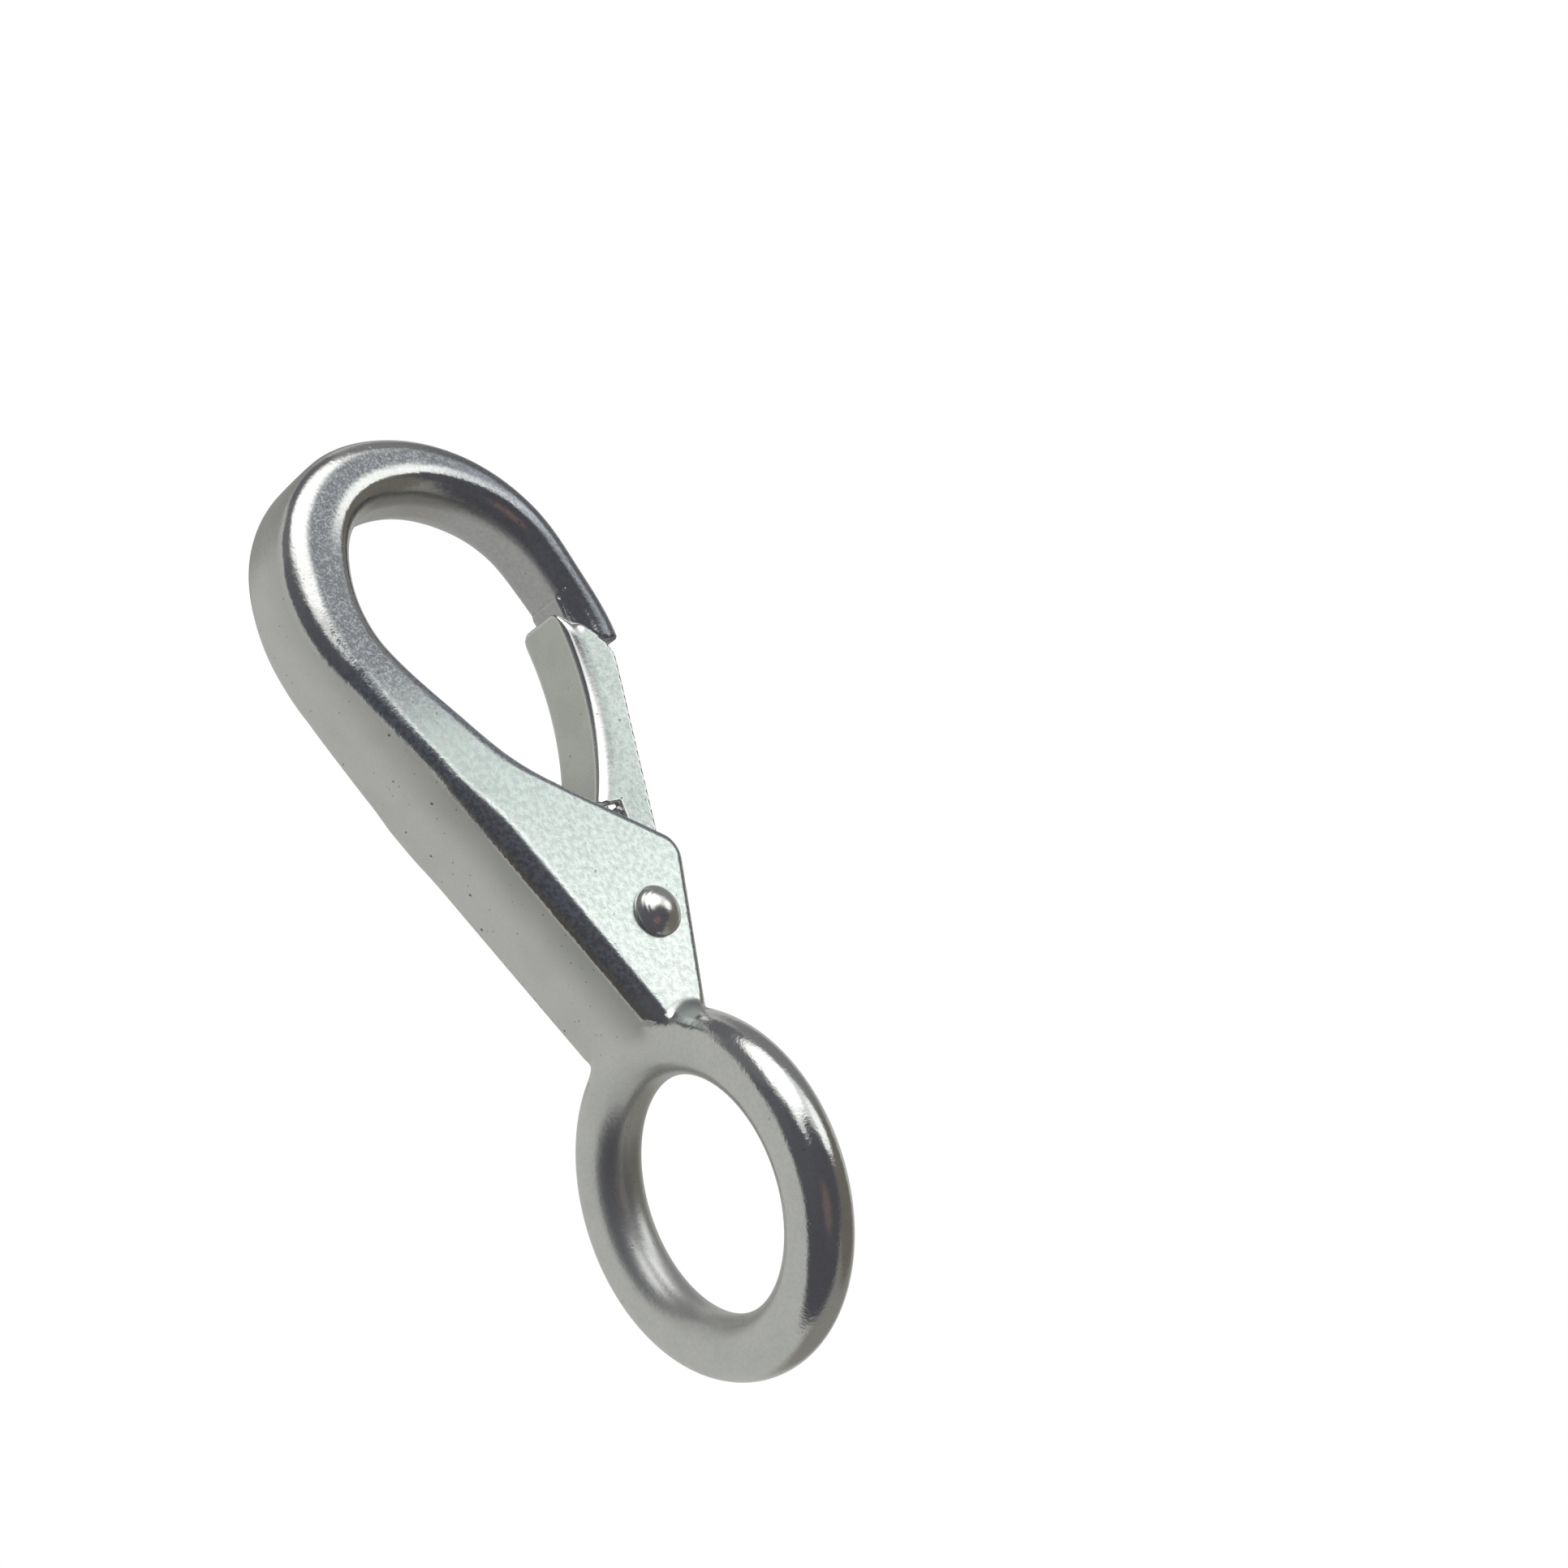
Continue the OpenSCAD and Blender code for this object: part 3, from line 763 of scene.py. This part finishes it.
def cast_metal():
    g = Graph("cast_steel")
    face, high, grain, rim, lip = (g.mark(n) for n in ("face", "high", "grain", "rim", "lip"))
    fillet, nose, under, scrape, edge = (g.mark(n) for n in ("fillet", "nose", "under", "scrape", "edge"))
    bore, shade, painted_crest_highlight = g.mark("bore"), g.mark("shade"), g.mark("painted_crest_highlight")
    cloud, peel = g.noise(5.0, 2.0), g.noise(0.5, 3.0, 0.6)
    fine, speck = g.noise(0.34, 2.0, 0.6), g.noise(0.19, 1.0)
    pits = g.math("MAXIMUM", g.span(g.cells(1.9), 0.085, 0.045), g.span(g.cells(0.9), 0.10, 0.05, 0.0, 0.6))

    colour = g.tint(face, (0.765, 0.77, 0.75), g.tint(high, (0.90, 0.965, 0.93), (0.62, 0.69, 0.66)))
    colour = g.tint(grain, colour, g.tint(g.span(speck, 0.45, 0.62), (0.27, 0.28, 0.30), (0.50, 0.51, 0.53)))
    colour = g.tint(rim, colour, g.tint(shade, (0.81, 0.81, 0.79), (0.50, 0.505, 0.485)))
    bare = g.math("SUBTRACT", 1.0, face)
    colour = g.tint(g.math("MULTIPLY", bare, g.span(fine, 0.35, 0.65, 0.09, 0.0)), colour, (0.30, 0.30, 0.29))
    colour = g.tint(fillet, colour, (0.70, 0.74, 0.79))
    # Painted highlight: the crest band is lightened towards near-white.
    colour = g.tint(g.math("MULTIPLY", painted_crest_highlight, g.span(fine, 0.3, 0.6, 0.35, 0.85)), colour, (0.95, 0.98, 0.97))
    colour = g.tint(lip, colour, (0.78, 0.74, 0.62))
    colour = g.tint(g.math("MULTIPLY", nose, 0.6), colour, (0.36, 0.38, 0.44))
    # Painted shade: the inner underside is darkened towards mauve-grey.
    colour = g.tint(g.math("MULTIPLY", under, 0.5), colour, (0.52, 0.50, 0.52))
    colour = g.tint(g.math("MULTIPLY", scrape, 0.7), colour, (0.40, 0.42, 0.42))
    dull = g.lerp(face, g.span(cloud, 0.35, 0.7, 0.0, 0.10), g.span(peel, 0.38, 0.62, 0.16, 0.0))
    colour = g.tint(dull, colour, (0.30, 0.34, 0.32))
    mottled = g.math("MAXIMUM", g.math("MAXIMUM", grain, fillet), g.math("MULTIPLY", nose, 0.8))
    mottling = g.math("MULTIPLY", mottled, g.span(fine, 0.40, 0.60, 0.38, 0.0))
    colour = g.tint(mottling, colour, (0.12, 0.13, 0.15))
    pitted = g.math("MULTIPLY", pits, g.math("MAXIMUM", rim, 0.35))
    colour = g.tint(g.math("MULTIPLY", pitted, 0.7), colour, (0.10, 0.10, 0.10))
    colour = g.tint(g.math("MULTIPLY", edge, g.span(speck, 0.4, 0.6, 0.05, 0.35)), colour, (0.86, 0.87, 0.86))

    rough = g.lerp(face, g.span(cloud, 0.3, 0.7, 0.10, 0.17), g.span(peel, 0.35, 0.65, 0.30, 0.22))
    rough = g.lerp(grain, rough, 0.34)
    rough = g.lerp(g.math("MULTIPLY", fillet, 0.8), rough, 0.26)
    rough = g.lerp(g.math("MULTIPLY", painted_crest_highlight, 0.6), rough, 0.16)
    rough = g.lerp(rim, rough, g.span(fine, 0.3, 0.7, 0.30, 0.40))
    rough = g.lerp(g.math("MAXIMUM", under, bore), rough, 0.36)
    rough = g.lerp(scrape, rough, 0.35)
    rough = g.math("ADD", rough, g.math("MULTIPLY", pitted, 0.2))

    ripple = g.math("ADD", 0.012, g.math("MULTIPLY", face, 0.012))
    grit = g.math("ADD", 0.0085, g.math("MULTIPLY", mottled, 0.005))
    grit = g.math("ADD", grit, g.math("MULTIPLY", g.math("MAXIMUM", under, rim), 0.003))
    height = g.math("ADD", g.math("MULTIPLY", peel, ripple), g.math("MULTIPLY", fine, grit))
    height = g.math("ADD", height, g.math("MULTIPLY", speck, g.math("MULTIPLY", grit, 0.8)))
    height = g.math("ADD", height, g.math("MULTIPLY", g.noise(2.6, 2.0), 0.030))
    height = g.math("SUBTRACT", height, g.math("MULTIPLY", pitted, 0.03))
    height = g.math("SUBTRACT", height, g.math("MULTIPLY", g.near(DIMPLE, 0.2, 0.5), 0.05))
    height = g.math("ADD", height, g.math("MULTIPLY", g.near(DIMPLE, 0.05, 0.25), 0.05))
    return g.finish(colour, rough, height)


def mark_gate():
    nx, ny, _ = gate_normals.T
    lying = np.abs(ny)
    paint(gate, "flange", ramp(lying, 0.97, 0.995))
    paint(gate, "web", ramp(-nx, 0.75, 0.93))
    # The fold and the sharp edges are marked for a painted highlight.
    fold = ramp(lying, 0.3, 0.5) * (1.0 - ramp(lying, 0.97, 0.995))
    paint(gate, "edge", np.maximum(ramp(gate_bend, 0.3, 0.9), fold))


def gate_metal():
    g = Graph("gate_steel")
    flange, web, edge = (g.mark(n) for n in ("flange", "web", "edge"))
    cloud, peel, fine = g.noise(3.2, 2.0), g.noise(0.5, 3.0, 0.6), g.noise(0.22, 2.0)
    pits = g.span(g.cells(1.3), 0.10, 0.05)
    colour = g.tint(flange, (0.74, 0.75, 0.74), (0.66, 0.72, 0.69))
    colour = g.tint(web, colour, (0.66, 0.67, 0.64))
    stained = g.math("MULTIPLY", flange, g.span(peel, 0.36, 0.60, 0.32, 0.0))
    colour = g.tint(stained, colour, (0.26, 0.32, 0.30))
    colour = g.tint(g.span(cloud, 0.40, 0.70, 0.0, 0.14), colour, (0.34, 0.35, 0.33))
    colour = g.tint(g.math("MULTIPLY", pits, 0.5), colour, (0.12, 0.13, 0.12))
    # Painted highlight: the fold and sharp edges are lightened towards near-white. They are also made
    # smoother.
    colour = g.tint(g.math("MULTIPLY", edge, 0.6), colour, (0.88, 0.89, 0.87))
    rough = g.lerp(edge, g.span(fine, 0.3, 0.7, 0.24, 0.34), 0.10)
    height = g.math("MULTIPLY", peel, g.math("ADD", 0.004, g.math("MULTIPLY", flange, 0.020)))
    height = g.math("ADD", height, g.math("MULTIPLY", fine, 0.0025))
    height = g.math("SUBTRACT", height, g.math("MULTIPLY", pits, 0.012))
    return g.finish(colour, rough, height)


def turned_metal(name, colour, worn, rough, streak):
    """Bright turned or drawn metal, with fine grain, soft clouds and small pits."""
    g = Graph(name)
    cloud, fine = g.noise(1.6, 2.0), g.noise(0.2, 2.0)
    pits = g.span(g.cells(0.9), 0.10, 0.05)
    shade = g.tint(g.span(cloud, 0.42, 0.70, 0.0, 0.35), colour, worn)
    shade = g.tint(g.math("MULTIPLY", pits, 0.5), shade, (0.15, 0.14, 0.12))
    height = g.math("ADD", g.math("MULTIPLY", cloud, 0.006), g.math("MULTIPLY", fine, streak))
    height = g.math("SUBTRACT", height, g.math("MULTIPLY", pits, 0.006))
    return g.finish(shade, g.span(fine, 0.3, 0.7, rough, rough + 0.1), height)


def floor_paper():
    g = Graph("floor_paper", metallic=0.0)
    cloud, grain = g.noise(90.0, 3.0), g.noise(1.5, 3.0)
    colour = g.tint(g.span(cloud, 0.3, 0.7), (0.86, 0.86, 0.85), (0.82, 0.82, 0.81))
    return g.finish(colour, g.span(grain, 0.3, 0.7, 0.75, 0.9), g.math("MULTIPLY", grain, 0.05))


mark_body()
mark_gate()
body.data.materials.append(cast_metal())
gate.data.materials.append(gate_metal())
rivet.data.materials.append(
    turned_metal("rivet_steel", (0.84, 0.84, 0.82), (0.70, 0.68, 0.62), 0.15, 0.0012))
spring.data.materials.append(
    turned_metal("spring_steel", (0.58, 0.58, 0.57), (0.40, 0.39, 0.37), 0.22, 0.0015))

# -------------------------------------------------------------------- view

camera_data = bpy.data.cameras.new("view")
camera_data.lens = 70.0  # with the place below, fitted to the eye and the spine in the photo
camera_data.sensor_width = 36.0
camera_data.clip_start = 0.01
camera_data.clip_end = 20.0
camera = bpy.data.objects.new("view", camera_data)
camera.location = (-0.15018, -0.18508, -0.01893)
camera.rotation_euler = Euler([math.radians(a) for a in (102.001, 21.483, -38.749)], "XYZ")
bpy.context.scene.collection.objects.link(camera)
bpy.context.scene.camera = camera

# --------------------------------------------------------- floor and light


def build_floor():
    """A plain pale round floor under the object, outside the main view."""
    sides, rings = 96, 12
    points, faces = [(0.0, 0.0, FLOOR_Z)], []
    for k in range(1, rings + 1):
        for i in range(sides):
            a = 2 * math.pi * i / sides
            r = FLOOR_R * k / rings
            points.append((r * math.cos(a), r * math.sin(a), FLOOR_Z))
    for i in range(sides):
        j = (i + 1) % sides
        faces.append((0, 1 + i, 1 + j))
        for k in range(rings - 1):
            a = 1 + k * sides
            faces.append((a + i, a + sides + i, a + sides + j, a + j))
    floor = bpy.data.objects.new("floor", mesh_from("floor", points, faces))
    bpy.context.scene.collection.objects.link(floor)
    floor.data.materials.append(floor_paper())
    floor.visible_glossy = False


VIEW_AXES = camera.rotation_euler.to_matrix()


def towards(azimuth, elevation):
    """A direction seen from the object: azimuth 0 is towards the main view, 90 to its right."""
    a, e = math.radians(azimuth), math.radians(elevation)
    return VIEW_AXES @ Vector((math.sin(a) * math.cos(e), math.sin(e), math.cos(a) * math.cos(e)))


# Soft patches of light and dark cloths round the object, each laid over the ones before:
# azimuth, elevation, full to this angle, gone at this angle, colour
ROOM = (0.52, 0.525, 0.505)
PATCHES = [
    (-145, 25, 14, 32, (0.30, 0.30, 0.29)),
    (-110, 73, 15, 30, (0.15, 0.15, 0.16)),
    (135, 45, 22, 40, (0.23, 0.23, 0.24)),
    (110, -40, 34, 56, (0.27, 0.26, 0.24)),
    (104, 0, 28, 40, (0.17, 0.16, 0.14)),
    (15, -25, 44, 58, (0.088, 0.088, 0.100)),
    (40, 9, 34, 48, (0.092, 0.092, 0.106)),
    (-15, 10, 24, 38, (0.098, 0.100, 0.114)),
    (-38, 28, 12, 24, (0.115, 0.120, 0.135)),
    (-55, 50, 12, 24, (0.17, 0.17, 0.18)),
    (33, -10, 4, 17, (0.190, 0.140, 0.130)),
    (78, 50, 10, 24, (0.82, 0.84, 0.83)),
    (18, 38, 4, 14, (0.90, 0.90, 0.89)),
    (28, 67, 19, 33, (1.50, 1.50, 1.49)),
    (91, 32, 8, 18, (1.26, 1.28, 1.27)),
]


def build_world():
    world = bpy.data.worlds.new("studio")
    bpy.context.scene.world = world
    world.use_nodes = True
    tree = world.node_tree
    nodes, links = tree.nodes, tree.links
    nodes.clear()
    coord = nodes.new("ShaderNodeTexCoord")

    def vector(op, a, b):
        node = nodes.new("ShaderNodeVectorMath")
        node.operation = op
        for socket, value in zip(node.inputs, (a, b)):
            if hasattr(value, "links"):
                links.new(value, socket)
            else:
                socket.default_value = value
        return node

    def share(azimuth, elevation, full, gone):
        dot = vector("DOT_PRODUCT", coord.outputs["Generated"], towards(azimuth, elevation))
        span = nodes.new("ShaderNodeMapRange")
        span.interpolation_type = "SMOOTHERSTEP"
        links.new(dot.outputs["Value"], span.inputs["Value"])
        span.inputs["From Min"].default_value = math.cos(math.radians(gone))
        span.inputs["From Max"].default_value = math.cos(math.radians(full))
        return span.outputs["Result"]

    def mixed(factor, a, b):
        node = nodes.new("ShaderNodeMix")
        node.data_type = "RGBA"
        links.new(factor, node.inputs["Factor"])
        for name, value in (("A", a), ("B", b)):
            socket = next(q for q in node.inputs if q.name == name and q.type == "RGBA")
            if hasattr(value, "links"):
                links.new(value, socket)
            else:
                socket.default_value = (*value, 1)
        return next(q for q in node.outputs if q.type == "RGBA")

    light = ROOM
    for azimuth, elevation, full, gone, colour in PATCHES:
        light = mixed(share(azimuth, elevation, full, gone), light, colour)
    path = nodes.new("ShaderNodeLightPath")
    light = mixed(path.outputs["Is Camera Ray"], light, (1.0, 1.0, 1.0))
    back = nodes.new("ShaderNodeBackground")
    out = nodes.new("ShaderNodeOutputWorld")
    links.new(light, back.inputs["Color"])
    links.new(back.outputs["Background"], out.inputs["Surface"])


build_world()
build_floor()
bpy.context.scene.view_settings.view_transform = "Standard"
